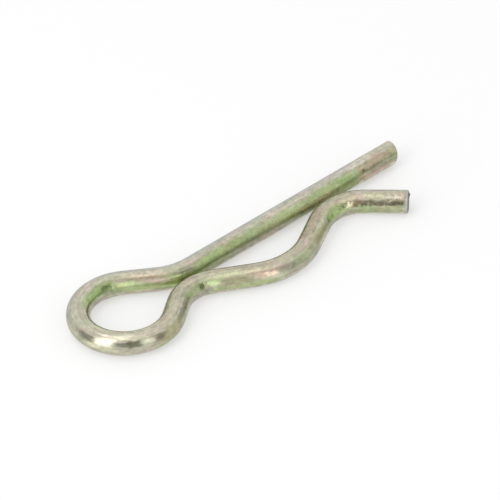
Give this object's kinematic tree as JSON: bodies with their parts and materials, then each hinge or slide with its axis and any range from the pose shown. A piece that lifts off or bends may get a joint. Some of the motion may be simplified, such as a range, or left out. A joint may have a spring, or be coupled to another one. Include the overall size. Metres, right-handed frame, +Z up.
{
  "type": "hitch r clip pin",
  "caption": "Round spring wire bent flat: a straight leg for a hitch pin's cross hole, a wavy leg that hugs the pin's outside, an eye to pull it by and a flared tail.",
  "frame": {"origin": "where the axis of the hitch pin crosses the axis of the straight leg, at the middle of the wire", "axes": "+X along the straight leg to its tip, +Y away from the wavy leg, +Z up, along the hitch pin"},
  "size_m": [0.07, 0.0216, 0.004],
  "materials": {
    "zinc_plate": "drawn spring steel wire, zinc plated and yellow passivated: satin, silver to straw with green and pink tints"
  },
  "bodies": {
    "root": {"r_clip": "zinc_plate"}
  },
  "joints": []
}
